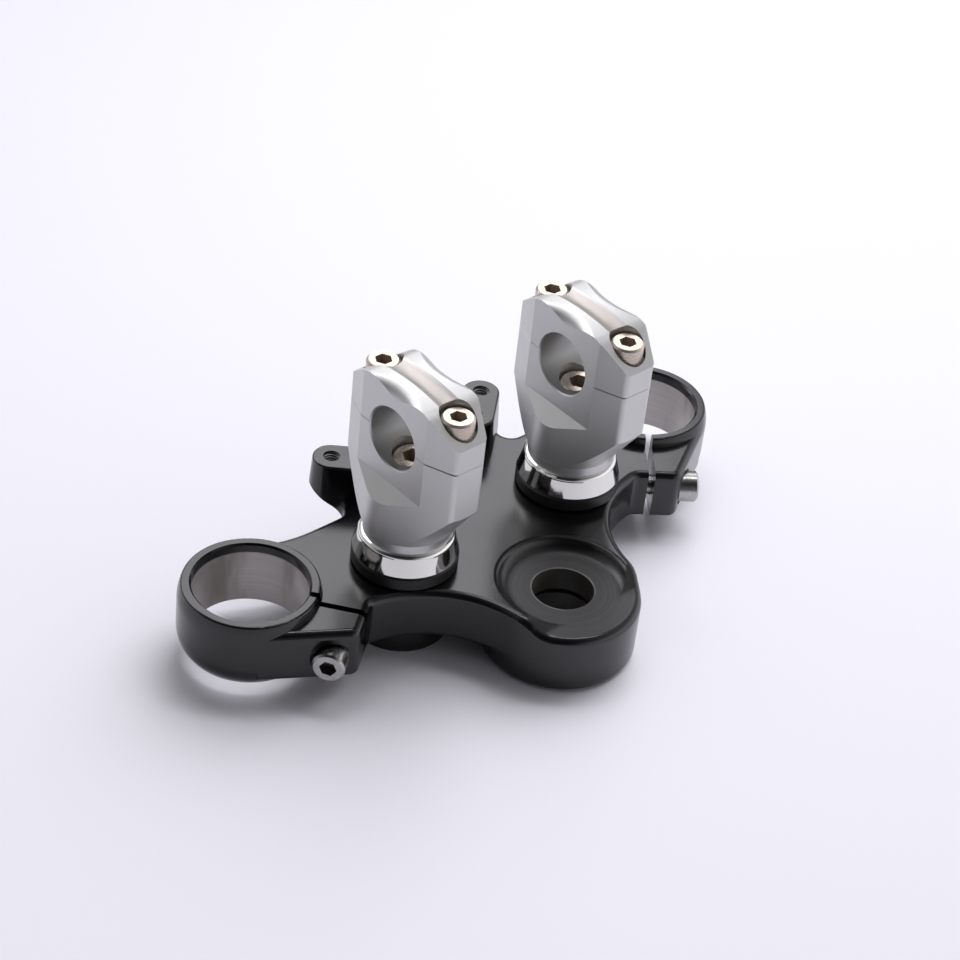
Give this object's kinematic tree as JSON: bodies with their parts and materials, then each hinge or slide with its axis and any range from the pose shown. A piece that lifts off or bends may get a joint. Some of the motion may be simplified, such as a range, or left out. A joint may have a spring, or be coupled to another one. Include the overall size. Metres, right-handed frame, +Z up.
{
  "type": "handlebar riser assembly",
  "caption": "Handlebar risers with split bar clamps, rubber-mounted on a black fork top yoke that clamps the fork tubes and seats on the steering stem.",
  "frame": {"origin": "steering stem axis, on the plane of the yoke's underside that the part rests on", "axes": "+X across the fork tubes, +Y forward towards the raised lugs, +Z up along the stem and fork tubes"},
  "size_m": [0.2624, 0.1363, 0.1166],
  "materials": {
    "yoke_black": "semi-gloss black coating on cast aluminium",
    "riser_silver": "satin silver anodised",
    "cup_chrome": "bright chrome plate",
    "bush_rubber": "matt black rubber",
    "bolt_steel": "bright plated steel",
    "pinch_steel": "plain grey steel",
    "plated_steel": "zinc plated"
  },
  "bodies": {
    "root": {"top_yoke": "yoke_black", "riser_body_left": "riser_silver", "riser_cap_left": "riser_silver", "bush_cup_left": "cup_chrome", "upper_bush_left": "bush_rubber", "lower_bush_left": "bush_rubber", "bush_sleeve_left": "plated_steel", "lower_washer_left": "plated_steel", "riser_nut_left": "plated_steel", "cap_bolt_front_left": "bolt_steel", "cap_bolt_rear_left": "bolt_steel", "riser_bolt_left": "bolt_steel", "pinch_bolt_left": "pinch_steel", "riser_body_right": "riser_silver", "riser_cap_right": "riser_silver", "bush_cup_right": "cup_chrome", "upper_bush_right": "bush_rubber", "lower_bush_right": "bush_rubber", "bush_sleeve_right": "plated_steel", "lower_washer_right": "plated_steel", "riser_nut_right": "plated_steel", "cap_bolt_front_right": "bolt_steel", "cap_bolt_rear_right": "bolt_steel", "riser_bolt_right": "bolt_steel", "pinch_bolt_right": "pinch_steel"}
  },
  "joints": []
}
